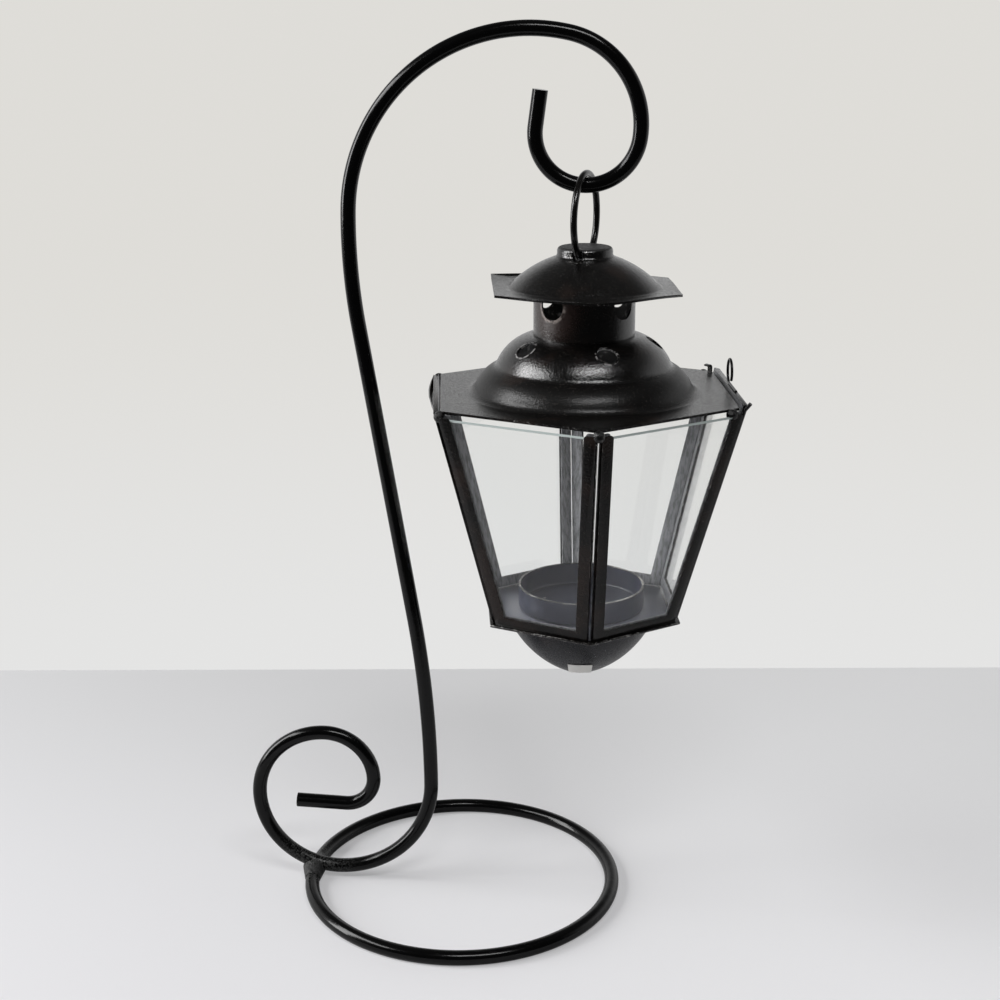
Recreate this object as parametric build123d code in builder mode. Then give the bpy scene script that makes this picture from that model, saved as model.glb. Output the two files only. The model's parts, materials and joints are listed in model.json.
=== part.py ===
"""Six-sided glass tealight lantern on a bent rod stand, as an assembly of separate pieces.

Millimetres, +Z up. The origin is the centre of the base ring on the floor.
The bent rod lies in the XZ plane, and +X points from its foot scroll to its hook.
"""

import os
from math import acos, asin, atan, atan2, cos, degrees, radians, sin, sqrt, tan

from build123d import *

os.makedirs("parts", exist_ok=True)

# Stand
ROD_DIAMETER = 5.0
BASE_RING_RADIUS = 54.0  # to the middle of its rod
RING_FLAT_DEPTH = 0.25  # flat under the base ring
WELD_GAP = 0.1  # between the ring's ends and the upright rod
WELD_RADIUS = 4.1  # beside the upright rod
WELD_END_RADIUS = 2.7  # where a bead runs out along the ring
WELD_LENGTH = 6.0
WELD_START = 1.0  # from the rod's plane
WELD_RISE = 1.1  # of the bead's thick end above the ring's centre line

# Bent rod, from the lowest point of its foot to both ends
FOOT_OFFSET = 44.8  # from the middle of the base ring to the foot's lowest point
FOOT_CLEARANCE = 1.7  # below the foot's lowest point
FOOT_RADIUS = 34.0
POST_LOWER_RADIUS = 400.0
POST_LEAN = 9.2  # degrees from plumb
POST_LENGTH = 102.0
POST_UPPER_RADIUS = 198.0
POST_UPPER_TURN = 11.0
ARCH_RADIUS = 58.4
ARCH_TURN = 100.6
CROOK_RADIUS = 28.8
CROOK_TURN = 84.6
HOOK_RADIUS = 17.0
HOOK_TURN = 90.0
HOOK_END_RADIUS = 16.1
HOOK_END_TURN = 90.5
TIP_LENGTH = 11.3
SCROLL_LOWER_RADIUS = 28.3
SCROLL_UPPER_RADIUS = 24.2
SCROLL_INNER_RADIUS = 17.4
SCROLL_END_RADIUS = 9.9
SCROLL_END_TURN = 92.0
STUB_LENGTH = 17.6

# Hanging ring
HANGING_RING_RADIUS = 13.9  # to the middle of its wire
HANGING_WIRE = 2.2
HANGING_GAP = 0.1  # between the wire and the hook
HANGING_TWIST = 13.0  # degrees, the ring's plane from the YZ plane

# Cap, with its levels measured from the axis through the two ring holes
SHEET = 0.8
CROWN_RADIUS = 9.0
CROWN_RISE = 1.8
CROWN_ROUNDING = 1.3
RING_HOLE_RADIUS = 1.8
NECK_DROP = 1.2
NECK_ROUNDING = 1.2
CAP_DROP = 11.0  # down to the top of the brim
CAP_RADIUS = 33.9  # to the brim's corners
CAP_DOME_RADIUS = 25.4
CAP_DOME_BULGE = 1.3  # of the dome's side past a straight cone
CAP_BRIM_ROUNDING = 1.5

# Chimney
CHIMNEY_RADIUS = 16.5
CHIMNEY_WALL = 0.6
CHIMNEY_SHOWING = 14.8  # from the roof to the cap's brim
CHIMNEY_HOLE = 8.8
CHIMNEY_HOLE_DROP = 3.8  # below the cap's brim
CHIMNEY_HOLE_COUNT = 4
CHIMNEY_HOLE_TURN = -127.4
SEAT_GAP = 0.05  # between pieces that rest on each other along an edge

# Roof
ROOF_EDGE_GAP = 0.36  # from the brim to the frames' inner faces
ROOF_RISE = 19.5
ROOF_DOME_RADIUS = 36.2
ROOF_DOME_BULGE = 1.7
ROOF_WAIST_RADIUS = 28.9
ROOF_WAIST_RISE = 9.3
ROOF_SHOULDER_BULGE = 2.0
ROOF_WAIST_ROUNDING = 3.0
ROOF_BRIM_ROUNDING = 3.5
VENT_DIAMETER = 6.8
VENT_COUNT = 5
VENT_RADIUS = 23.0  # from the axis to the middle of a vent
VENT_DROP = 2.6  # below the roof's top
VENT_TILT = 54.0  # degrees, the vent's axis above level
VENT_TURN = -141.4
TAB_THICKNESS = 0.5
TAB_WIDTH = 2.0
TAB_INSET = 0.9  # from the brim's corner
TAB_RISE = 1.5
TAB_BEND_RADIUS = 0.8
TAB_BEND_TURN = 100.0
TAB_REACH = 0.9

# Glazed body
LANTERN_TURN = 7.2  # degrees, the front corner from the -Y direction towards +X
BODY_HEIGHT = 74.2  # from the base plate to the roof
BODY_TOP_RADIUS = 56.8  # outer faces' corners at the roof
BODY_BASE_RADIUS = 35.4  # outer faces' corners at the base plate
FRAME_THICKNESS = 2.0
FRAME_SHEET = 0.35
SIDE_RAIL = 4.0
BOTTOM_RAIL = 3.4
CORNER_SETBACK = 1.22  # a frame's side from the corner where two faces would meet
LEG_DROP = 0.7  # open legs' tops below the roof
LEG_ROUNDING = 1.3
TOP_RAIL = 2.8
DOOR_RISE = 1.5  # the door's top above the roof's underside
LEFT_RISE = 0.3  # the left frame's top above the roof's underside
PANE_THICKNESS = 1.2
PANE_CLEARANCE = 0.05
PANE_DROP = 1.9  # open panes' tops below the roof
LIP_BULGE = 1.7
LIP_THICKNESS = 0.5
LIP_SEAM = 1.5  # at each end, where the lip still lies on its rail
LIP_BACK_MARGIN = 0.2  # from the rail's back end
LIP_FRONT_MARGIN = 8.2  # from the rail's front end

# Base
BASE_RADIUS = 36.4
BASE_SHEET = 0.8
CUP_RADIUS = 21.0
CUP_HEIGHT = 8.1
CUP_WALL = 0.7
CUP_ROUNDING = 1.4
BOWL_RADIUS = 26.0
BOWL_DEPTH = 22.2
BOWL_DISC_RADIUS = 5.2
BOWL_BULGE = 3.2
LABEL_WIDTH = 8.3
LABEL_HEIGHT = 3.6
LABEL_THICKNESS = 0.2
LABEL_GAP = 0.05
LABEL_RADIUS = 16.8  # from the axis to the label's top edge
LABEL_LEAN = 25.0  # degrees from plumb, its lower edge inwards
LABEL_TURN = -87.9

# Door and its wire parts
DOOR_GAP = 1.2  # above the base plate
PIN_DIAMETER = 1.2
PIN_CLEARANCE = 0.1
PIN_BEND_DROP = 0.9  # below the roof
PIN_BEND_RADIUS = 3.0
PIN_TAIL_TURN = 22.0
PIN_TAIL = 2.6
PULL_WIRE = 0.9
PULL_EYE_RADIUS = 4.0
PULL_EYE_TURN = 305.0
PULL_TAIL = 12.4
PULL_OFFSET = 1.4  # from the middle of the door's top, towards its free side
PULL_INSET = 1.3  # from the door's outer face

# Solder
SOLDER_RADIUS = 1.9
SOLDER_INSET = 2.2  # from the line where two outer faces would meet
SOLDER_DROP = 0.9  # below the roof
SOLDER_OFFSET = 3.6  # along the fixed side, from a corner that the door shares
DOOR_CORNERS = {1: -120, 2: 120}  # corner, and the turn from its outward way along the fixed side


def save(piece, name):
    """Label a finished piece and write it."""
    piece.part.label = name
    export_step(piece.part, f"parts/{name}.step")


def arc_point(start, end, bulge):
    """Middle point of an arc from start to end that swells by bulge to the right of that way."""
    run = (end[0] - start[0], end[1] - start[1])
    length = sqrt(run[0] ** 2 + run[1] ** 2)
    middle = ((start[0] + end[0]) / 2, (start[1] + end[1]) / 2)
    return (middle[0] + bulge * run[1] / length, middle[1] - bulge * run[0] / length)


# Stand rod: one bent rod, drawn both ways from the foot
rod_radius = ROD_DIAMETER / 2
with BuildPart() as stand_rod:
    with BuildLine(Plane.XZ) as rod_path:
        foot_point = (-FOOT_OFFSET, FOOT_CLEARANCE + rod_radius)
        foot = JernArc(foot_point, (1, 0), FOOT_RADIUS, 90)
        lower = JernArc(foot @ 1, foot % 1, POST_LOWER_RADIUS, POST_LEAN)
        post = Line(lower @ 1, (lower @ 1) + (lower % 1) * POST_LENGTH)
        upper = JernArc(post @ 1, post % 1, POST_UPPER_RADIUS, -POST_UPPER_TURN)
        arch = JernArc(upper @ 1, upper % 1, ARCH_RADIUS, -ARCH_TURN)
        crook = JernArc(arch @ 1, arch % 1, CROOK_RADIUS, -CROOK_TURN)
        hook = JernArc(crook @ 1, crook % 1, HOOK_RADIUS, -HOOK_TURN)
        curl = JernArc(hook @ 1, hook % 1, HOOK_END_RADIUS, -HOOK_END_TURN)
        Line(curl @ 1, (curl @ 1) + (curl % 1) * TIP_LENGTH)
        outer = JernArc(foot_point, (-1, 0), SCROLL_LOWER_RADIUS, -90)
        over = JernArc(outer @ 1, outer % 1, SCROLL_UPPER_RADIUS, -90)
        inner = JernArc(over @ 1, over % 1, SCROLL_INNER_RADIUS, -90)
        end = JernArc(inner @ 1, inner % 1, SCROLL_END_RADIUS, -SCROLL_END_TURN)
        Line(end @ 1, (end @ 1) + (end % 1) * STUB_LENGTH)
    rod_wire = rod_path.wire()
    with BuildSketch(Plane(rod_wire @ 0, z_dir=rod_wire % 0)):
        Circle(rod_radius)
    sweep(path=rod_wire)
save(stand_rod, "stand_rod")

# Base ring: a rod bent round and butted to both sides of the upright rod
ring_gap_angle = degrees(asin((rod_radius + WELD_GAP) / BASE_RING_RADIUS))
ring_level = rod_radius - RING_FLAT_DEPTH
with BuildPart() as base_ring:
    with BuildLine(Plane.XY.offset(ring_level)) as ring_path:
        CenterArc((0, 0), BASE_RING_RADIUS, 180 + ring_gap_angle, 360 - 2 * ring_gap_angle)
    ring_wire = ring_path.wire()
    with BuildSketch(Plane(ring_wire @ 0, z_dir=ring_wire % 0)):
        Circle(rod_radius)
    sweep(path=ring_wire)
    split(bisect_by=Plane.XY, keep=Keep.TOP)
save(base_ring, "base_ring")

# Weld beads: one where each end of the ring meets the rod, running out along the ring
weld_end_y = WELD_START + WELD_LENGTH
weld_end_x = -sqrt(BASE_RING_RADIUS**2 - weld_end_y**2)
with BuildPart() as weld_beads:
    for side in (1, -1):
        weld_root = Vector(-BASE_RING_RADIUS, side * WELD_START, ring_level + WELD_RISE)
        weld_run = Vector(weld_end_x, side * weld_end_y, ring_level) - weld_root
        with Locations(Plane(weld_root, z_dir=weld_run)):
            Cone(
                WELD_RADIUS,
                WELD_END_RADIUS,
                weld_run.length,
                align=(Align.CENTER, Align.CENTER, Align.MIN),
            )
    add(stand_rod.part, mode=Mode.SUBTRACT)
    add(base_ring.part, mode=Mode.SUBTRACT)
    split(bisect_by=Plane.XY, keep=Keep.TOP)
save(weld_beads, "weld_beads")

# Where the lantern hangs: under the lowest point of the hook
axis_x = hook.center_point.X
hook_level = hook.center_point.Z - HOOK_RADIUS
wire_radius = HANGING_WIRE / 2
ring_top = hook_level + rod_radius + HANGING_GAP + wire_radius
ring_centre = ring_top - HANGING_RING_RADIUS
ring_plane = Plane(
    (axis_x, 0, ring_centre),
    x_dir=(sin(radians(HANGING_TWIST)), cos(radians(HANGING_TWIST)), 0),
    z_dir=(cos(radians(HANGING_TWIST)), -sin(radians(HANGING_TWIST)), 0),
)

# Hanging ring: a closed wire ring over the hook and through the cap's crown
with BuildPart() as hanging_ring:
    with BuildLine(ring_plane) as hanging_path:
        CenterArc((0, 0), HANGING_RING_RADIUS, 0, 360)
    hanging_wire = hanging_path.wire()
    with BuildSketch(Plane(hanging_wire @ 0, z_dir=hanging_wire % 0)):
        Circle(wire_radius)
    sweep(path=hanging_wire)
save(hanging_ring, "hanging_ring")

# Levels of the lantern, from the ring holes down
hole_reach = CROWN_RADIUS - SHEET / 2
hole_depth = sqrt(HANGING_RING_RADIUS**2 - hole_reach**2)
hole_level = ring_centre - hole_depth
crown_top = hole_level + CROWN_RISE
neck_level = hole_level - NECK_DROP
cap_brim = hole_level - CAP_DROP
roof_top = cap_brim - SHEET - CHIMNEY_SHOWING
roof_under = roof_top - ROOF_RISE
base_top = roof_under - BODY_HEIGHT
base_under = base_top - BASE_SHEET

# Slopes of the glazed sides, and the roof that fits between their frames
base_flat = BODY_BASE_RADIUS * cos(radians(30))
top_flat = BODY_TOP_RADIUS * cos(radians(30))
face_slope = atan((top_flat - base_flat) / BODY_HEIGHT)
face_height = BODY_HEIGHT / cos(face_slope)
edge_slope = atan((BODY_TOP_RADIUS - BODY_BASE_RADIUS) / 2 / face_height)
groove_angle = acos(cos(face_slope) ** 2 * cos(radians(60)) + sin(face_slope) ** 2) / 2
slot_thickness = PANE_THICKNESS + 2 * PANE_CLEARANCE
roof_radius = (top_flat - FRAME_THICKNESS / cos(face_slope) - ROOF_EDGE_GAP) / cos(radians(30))
corner_turn = LANTERN_TURN - 90
lantern_axis = Axis((axis_x, 0, 0), (0, 0, 1))
side_plane = Plane((axis_x, 0, 0), x_dir=(1, 0, 0), z_dir=(0, -1, 0))


def level_plane(level):
    """Level plane on the lantern's axis, with its X axis through a corner of the six sides."""
    return Plane((axis_x, 0, level), x_dir=(cos(radians(corner_turn)), sin(radians(corner_turn)), 0))


def round_edge(part, level):
    """Widest round edge of a part at a level."""
    edges = part.edges().filter_by(GeomType.LINE, reverse=True)
    return edges.filter_by_position(Axis.Z, level - SEAT_GAP, level + SEAT_GAP).sort_by(SortBy.LENGTH)[-1]


# Cap: six-sided brim, pressed dome and crown with two holes for the ring
with BuildPart() as cap:
    with BuildSketch(side_plane):
        with BuildLine():
            brim_point = (CAP_DOME_RADIUS, cap_brim - SHEET)
            neck_point = (CROWN_RADIUS, neck_level)
            Line((0, cap_brim - SHEET), brim_point)
            cap_bulge = arc_point(brim_point, neck_point, CAP_DOME_BULGE)
            cap_side = ThreePointArc(brim_point, cap_bulge, neck_point)
            Polyline(neck_point, (CROWN_RADIUS, crown_top), (0, crown_top), (0, cap_brim - SHEET))
        make_face()
    revolve(axis=lantern_axis)
    fillet(cap.faces().sort_by(Axis.Z)[-1].edges(), CROWN_ROUNDING)
    fillet(round_edge(cap.part, neck_level), NECK_ROUNDING)
    offset(amount=-SHEET, openings=cap.faces().sort_by(Axis.Z)[0])
    with BuildSketch(level_plane(cap_brim)):
        RegularPolygon(CAP_RADIUS, 6)
        Circle(CAP_DOME_RADIUS - SHEET, mode=Mode.SUBTRACT)
    extrude(amount=-SHEET)
    fillet(round_edge(cap.part, cap_brim), CAP_BRIM_ROUNDING)
    for side in (1, -1):
        hole_point = ring_plane.from_local_coords((side * hole_reach, -hole_depth))
        way = ring_plane.from_local_coords((side * (hole_reach + hole_depth), hole_reach - hole_depth))
        with BuildSketch(Plane(hole_point, z_dir=way - hole_point)):
            Circle(RING_HOLE_RADIUS)
        extrude(amount=HANGING_WIRE * 1.5, both=True, mode=Mode.SUBTRACT)
save(cap, "cap")

# Chimney: a rolled tube with round holes, its top against the inside of the dome
with BuildPart() as chimney:
    with BuildSketch(Plane((axis_x, 0, roof_top + SEAT_GAP))):
        Circle(CHIMNEY_RADIUS)
        Circle(CHIMNEY_RADIUS - CHIMNEY_WALL, mode=Mode.SUBTRACT)
    extrude(amount=crown_top - roof_top)
    with BuildSketch(side_plane):
        with BuildLine():
            dome_centre = (cap_side.arc_center.X, cap_side.arc_center.Y)
            dome_inside = cap_side.radius - SHEET - SEAT_GAP
            start = degrees(atan2(brim_point[1] - dome_centre[1], brim_point[0] - dome_centre[0]))
            stop = degrees(atan2(neck_point[1] - dome_centre[1], neck_point[0] - dome_centre[0]))
            seat = CenterArc(dome_centre, dome_inside, start, stop - start)
            above = crown_top + SHEET
            Polyline(seat @ 1, ((seat @ 1).X, above), ((seat @ 0).X, above), seat @ 0)
        make_face()
    revolve(axis=lantern_axis, mode=Mode.SUBTRACT)
    for index in range(CHIMNEY_HOLE_COUNT):
        turn = radians(CHIMNEY_HOLE_TURN + 360 / CHIMNEY_HOLE_COUNT * index)
        hole_z = cap_brim - SHEET - CHIMNEY_HOLE_DROP
        with BuildSketch(Plane((axis_x, 0, hole_z), z_dir=(cos(turn), sin(turn), 0))):
            Circle(CHIMNEY_HOLE / 2)
        extrude(amount=CHIMNEY_RADIUS * 2, mode=Mode.SUBTRACT)
save(chimney, "chimney")

# Roof: six-sided brim, two-step pressed dome, vents round its shoulder
with BuildPart() as roof:
    with BuildSketch(side_plane):
        with BuildLine():
            dome_point = (ROOF_DOME_RADIUS, roof_under)
            waist_point = (ROOF_WAIST_RADIUS, roof_under + ROOF_WAIST_RISE)
            top_point = (CHIMNEY_RADIUS + SHEET, roof_top)
            Line((0, roof_under), dome_point)
            ThreePointArc(dome_point, arc_point(dome_point, waist_point, ROOF_DOME_BULGE), waist_point)
            ThreePointArc(waist_point, arc_point(waist_point, top_point, ROOF_SHOULDER_BULGE), top_point)
            Polyline(top_point, (0, roof_top), (0, roof_under))
        make_face()
    revolve(axis=lantern_axis)
    fillet(round_edge(roof.part, waist_point[1]), ROOF_WAIST_ROUNDING)
    offset(amount=-SHEET, openings=roof.faces().sort_by(Axis.Z)[0])
    with BuildSketch(level_plane(roof_under)):
        RegularPolygon(roof_radius, 6)
        Circle(ROOF_DOME_RADIUS - SHEET, mode=Mode.SUBTRACT)
    extrude(amount=SHEET)
    fillet(round_edge(roof.part, roof_under + SHEET), ROOF_BRIM_ROUNDING)
    with BuildSketch(Plane((axis_x, 0, roof_top))):
        Circle(CHIMNEY_RADIUS - CHIMNEY_WALL)
    extrude(amount=SHEET * 2, both=True, mode=Mode.SUBTRACT)
    for index in range(VENT_COUNT):
        turn = radians(VENT_TURN + 360 / VENT_COUNT * index)
        vent_point = (
            axis_x + VENT_RADIUS * cos(turn),
            VENT_RADIUS * sin(turn),
            roof_top - VENT_DROP,
        )
        level_part = cos(radians(VENT_TILT))
        vent_way = (level_part * cos(turn), level_part * sin(turn), sin(radians(VENT_TILT)))
        with BuildSketch(Plane(vent_point, z_dir=vent_way)):
            Circle(VENT_DIAMETER / 2)
        extrude(amount=VENT_DIAMETER / 2, both=True, mode=Mode.SUBTRACT)
save(roof, "roof")

# Roof tab: a narrow strip standing on the corner beside the door's free side, its end turned inwards
tab_turn = radians(corner_turn + 120)
tab_foot = roof_under + SHEET + SEAT_GAP
tab_plane = Plane(
    (axis_x, 0, 0),
    x_dir=(cos(tab_turn), sin(tab_turn), 0),
    z_dir=(sin(tab_turn), -cos(tab_turn), 0),
)
with BuildPart() as roof_tab:
    with BuildLine(tab_plane) as tab_path:
        tab_radius = roof_radius - TAB_INSET
        stem = Line((tab_radius, tab_foot), (tab_radius, tab_foot + TAB_RISE))
        curl = JernArc(stem @ 1, stem % 1, TAB_BEND_RADIUS, TAB_BEND_TURN)
        Line(curl @ 1, (curl @ 1) + (curl % 1) * TAB_REACH)
    tab_wire = tab_path.wire()
    with BuildSketch(Plane(tab_wire @ 0, x_dir=tab_plane.x_dir, z_dir=tab_wire % 0)):
        Rectangle(TAB_THICKNESS, TAB_WIDTH)
    sweep(path=tab_wire)
save(roof_tab, "roof_tab")

def face_plane(turn):
    """Outer face of one side, from the middle of its bottom edge: X along it, Y up it, Z outwards."""
    level = (cos(radians(turn)), sin(radians(turn)))
    return Plane(
        (axis_x + base_flat * level[0], base_flat * level[1], base_top),
        x_dir=(-level[1], level[0], 0),
        z_dir=(cos(face_slope) * level[0], cos(face_slope) * level[1], -sin(face_slope)),
    )


def half_width(height, inset):
    """Half of a side's width at a height up its face, less an inset square to its slanted edge."""
    return BODY_BASE_RADIUS / 2 + height * tan(edge_slope) - inset / cos(edge_slope)


def trapezium(bottom, top, inset):
    """Corners of a side's outline between two heights."""
    low = half_width(bottom, inset)
    high = half_width(top, inset)
    return ((-low, bottom), (low, bottom), (high, top), (-high, top))


def draw_frame(plane, bottom, top, closed):
    """Folded channel round a pane: two legs and a bottom rail, and a top rail if it is closed."""
    with BuildSketch(plane) as outline:
        Polygon(*trapezium(bottom, top, CORNER_SETBACK), align=None)
        window_top = top - TOP_RAIL if closed else top + SIDE_RAIL
        window = trapezium(bottom + BOTTOM_RAIL, window_top, CORNER_SETBACK + SIDE_RAIL)
        Polygon(*window, align=None, mode=Mode.SUBTRACT)
        if not closed:
            fillet(outline.vertices().group_by(Axis.Y)[-1], LEG_ROUNDING)
    extrude(outline.sketch, amount=-FRAME_THICKNESS)
    with BuildSketch(plane.offset(-(FRAME_THICKNESS - slot_thickness) / 2)) as slot:
        slot_top = top - FRAME_SHEET if closed else top + SIDE_RAIL
        slot_inset = CORNER_SETBACK + FRAME_SHEET
        Polygon(*trapezium(bottom + FRAME_SHEET, slot_top, slot_inset), align=None)
    extrude(slot.sketch, amount=-slot_thickness, mode=Mode.SUBTRACT)


def draw_pane(plane, bottom, top):
    """Sheet of glass in the middle of a frame's channel."""
    inset = CORNER_SETBACK + FRAME_SHEET + PANE_CLEARANCE
    with BuildSketch(plane.offset(-(FRAME_THICKNESS - PANE_THICKNESS) / 2)) as sheet:
        Polygon(*trapezium(bottom + FRAME_SHEET + PANE_CLEARANCE, top, inset), align=None)
    extrude(sheet.sketch, amount=-PANE_THICKNESS)


frame_bottom = SEAT_GAP
leg_top = face_height - LEG_DROP / cos(face_slope)
pane_top = face_height - PANE_DROP / cos(face_slope)
door_top = face_height + DOOR_RISE / cos(face_slope)
left_top = face_height + LEFT_RISE / cos(face_slope)
pane_sink = FRAME_SHEET + PANE_CLEARANCE
SIDES = ("front_right", "door", "back_right", "back_left", "left", "front_left")
side_turn = {name: corner_turn + 30 + 60 * index for index, name in enumerate(SIDES)}

# Fixed sides: frame and pane; the left one has a top rail with a sprung lip
frames = {}
for name in SIDES:
    if name == "door":
        continue
    plane = face_plane(side_turn[name])
    has_rail = name == "left"
    with BuildPart() as frame:
        draw_frame(plane, frame_bottom, left_top if has_rail else leg_top, has_rail)
        if has_rail:
            lip_bottom = left_top - TOP_RAIL
            lip_end = half_width(lip_bottom, CORNER_SETBACK) - (LIP_BACK_MARGIN + LIP_FRONT_MARGIN) / 2
            lip_root = lip_end - LIP_SEAM
            lip_foot = plane.from_local_coords(((LIP_BACK_MARGIN - LIP_FRONT_MARGIN) / 2, lip_bottom))
            lip_plane = Plane(lip_foot, x_dir=plane.x_dir, z_dir=plane.y_dir)
            with BuildSketch(lip_plane):
                with BuildLine():
                    ThreePointArc((-lip_end, 0), (0, -LIP_BULGE), (lip_end, 0))
                    Line((lip_end, 0), (-lip_end, 0))
                make_face()
            extrude(amount=TOP_RAIL)
            with BuildSketch(lip_plane.offset(FRAME_SHEET)):
                with BuildLine():
                    ThreePointArc((-lip_root, 0), (0, LIP_THICKNESS - LIP_BULGE), (lip_root, 0))
                    Line((lip_root, 0), (-lip_root, 0))
                make_face()
            extrude(amount=TOP_RAIL, mode=Mode.SUBTRACT)
    save(frame, f"frame_{name}")
    frames[name] = frame.part
    with BuildPart() as pane:
        draw_pane(plane, frame_bottom, left_top - pane_sink if has_rail else pane_top)
    save(pane, f"pane_{name}")

# Door: a closed frame that turns on a wire in the groove of its front corner
door_plane = face_plane(side_turn["door"])
with BuildPart() as door_frame:
    draw_frame(door_plane, DOOR_GAP, door_top, True)
save(door_frame, "door_frame")

with BuildPart() as door_pane:
    draw_pane(door_plane, DOOR_GAP, door_top - pane_sink)
save(door_pane, "door_pane")

# Hinge pin: wire down the corner groove, its top end bent outwards
pin_radius = PIN_DIAMETER / 2
pin_inset = (CORNER_SETBACK - pin_radius - PIN_CLEARANCE) / sin(groove_angle)
hinge_turn = radians(corner_turn + 60)
corner_run = BODY_TOP_RADIUS - BODY_BASE_RADIUS
corner_lean = atan(corner_run / BODY_HEIGHT)
hinge_plane = Plane(
    (axis_x + BODY_BASE_RADIUS * cos(hinge_turn), BODY_BASE_RADIUS * sin(hinge_turn), base_top),
    x_dir=(cos(hinge_turn), sin(hinge_turn), 0),
    z_dir=(sin(hinge_turn), -cos(hinge_turn), 0),
)
pin_way = (sin(corner_lean), cos(corner_lean))
pin_root = (-pin_inset * cos(corner_lean), pin_inset * sin(corner_lean))
pin_start = DOOR_GAP / cos(corner_lean)
pin_end = (BODY_HEIGHT - PIN_BEND_DROP) / cos(corner_lean)
with BuildPart() as hinge_pin:
    with BuildLine(hinge_plane) as pin_path:
        low = (pin_root[0] + pin_way[0] * pin_start, pin_root[1] + pin_way[1] * pin_start)
        high = (pin_root[0] + pin_way[0] * pin_end, pin_root[1] + pin_way[1] * pin_end)
        shank = Line(low, high)
        bend = JernArc(shank @ 1, shank % 1, PIN_BEND_RADIUS, -PIN_TAIL_TURN)
        Line(bend @ 1, (bend @ 1) + (bend % 1) * PIN_TAIL)
    pin_wire = pin_path.wire()
    with BuildSketch(Plane(pin_wire @ 0, z_dir=pin_wire % 0)):
        Circle(pin_radius)
    sweep(path=pin_wire)
save(hinge_pin, "hinge_pin")

# Door pull: wire lying on the door's top rail, its end curled up into an upright eye
pull_radius = PULL_WIRE / 2
pull_rest = door_plane.offset(-PULL_INSET).from_local_coords((PULL_OFFSET, door_top + pull_radius))
pull_plane = Plane(pull_rest, x_dir=door_plane.x_dir, z_dir=door_plane.x_dir.cross(Vector(0, 0, 1)))
with BuildPart() as door_pull:
    with BuildLine(pull_plane) as pull_path:
        tail = Line((-PULL_TAIL, 0), (0, 0))
        JernArc(tail @ 1, tail % 1, PULL_EYE_RADIUS, PULL_EYE_TURN)
    pull_wire = pull_path.wire()
    with BuildSketch(Plane(pull_wire @ 0, z_dir=pull_wire % 0)):
        Circle(pull_radius)
    sweep(path=pull_wire)
save(door_pull, "door_pull")

# Solder: a blob in each corner groove under the roof, beside it where the door turns
with BuildPart() as solder_beads:
    for index in range(6):
        turn = corner_turn + 60 * index
        reach = BODY_TOP_RADIUS - SOLDER_INSET
        spot = Vector(axis_x, 0, roof_under - SOLDER_DROP) + Vector(reach, 0, 0).rotate(Axis.Z, turn)
        if index in DOOR_CORNERS:
            spot += Vector(SOLDER_OFFSET, 0, 0).rotate(Axis.Z, turn + DOOR_CORNERS[index])
        with Locations(spot):
            Sphere(SOLDER_RADIUS, rotation=(0, 0, turn))
    for name in SIDES:
        with BuildSketch(face_plane(side_turn[name])):
            side_top = door_top + SOLDER_RADIUS if name in ("door", "left") else leg_top
            Polygon(*trapezium(frame_bottom, side_top, CORNER_SETBACK), align=None)
        extrude(amount=-FRAME_THICKNESS, mode=Mode.SUBTRACT)
    add(frames["left"], mode=Mode.SUBTRACT)
    add(roof.part, mode=Mode.SUBTRACT)
save(solder_beads, "solder_beads")

# Base plate, candle cup, bowl and label
with BuildPart() as base_plate:
    with BuildSketch(level_plane(base_under)):
        RegularPolygon(BASE_RADIUS, 6)
    extrude(amount=BASE_SHEET)
save(base_plate, "base_plate")

with BuildPart() as candle_cup:
    with BuildSketch(Plane((axis_x, 0, base_top))):
        Circle(CUP_RADIUS)
    extrude(amount=CUP_HEIGHT)
    fillet(candle_cup.faces().sort_by(Axis.Z)[0].edges(), CUP_ROUNDING)
    offset(amount=-CUP_WALL, openings=candle_cup.faces().sort_by(Axis.Z)[-1])
save(candle_cup, "candle_cup")

bowl_bottom = base_under - BOWL_DEPTH
bowl_rim = (BOWL_RADIUS, base_under)
bowl_disc = (BOWL_DISC_RADIUS, bowl_bottom)
with BuildPart() as bowl:
    with BuildSketch(side_plane):
        with BuildLine():
            Polyline((0, base_under), (0, bowl_bottom), bowl_disc)
            bowl_side = ThreePointArc(bowl_disc, arc_point(bowl_disc, bowl_rim, BOWL_BULGE), bowl_rim)
            Line(bowl_rim, (0, base_under))
        make_face()
    revolve(axis=lantern_axis)
    offset(amount=-SHEET, openings=bowl.faces().sort_by(Axis.Z)[-1])
save(bowl, "bowl")

# Label: blank paper on the lower front of the bowl, stuck down along its top edge
side_centre = (bowl_side.arc_center.X, bowl_side.arc_center.Y)
label_angle = -acos((LABEL_RADIUS - side_centre[0]) / bowl_side.radius)
label_reach = bowl_side.radius + LABEL_GAP
label_top = (side_centre[0] + label_reach * cos(label_angle), side_centre[1] + label_reach * sin(label_angle))
lean = radians(LABEL_LEAN)
down = (-LABEL_HEIGHT * sin(lean), -LABEL_HEIGHT * cos(lean))
out = (LABEL_THICKNESS * cos(lean), -LABEL_THICKNESS * sin(lean))
label_low = (label_top[0] + down[0], label_top[1] + down[1])
label_arc = degrees(LABEL_WIDTH / LABEL_RADIUS)
label_turn = radians(LABEL_TURN - label_arc / 2)
label_plane = Plane(
    (axis_x, 0, 0),
    x_dir=(cos(label_turn), sin(label_turn), 0),
    z_dir=(sin(label_turn), -cos(label_turn), 0),
)
with BuildPart() as paper_label:
    with BuildSketch(label_plane):
        with BuildLine():
            Polyline(
                label_top,
                label_low,
                (label_low[0] + out[0], label_low[1] + out[1]),
                (label_top[0] + out[0], label_top[1] + out[1]),
                close=True,
            )
        make_face()
    revolve(axis=lantern_axis, revolution_arc=label_arc)
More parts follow.
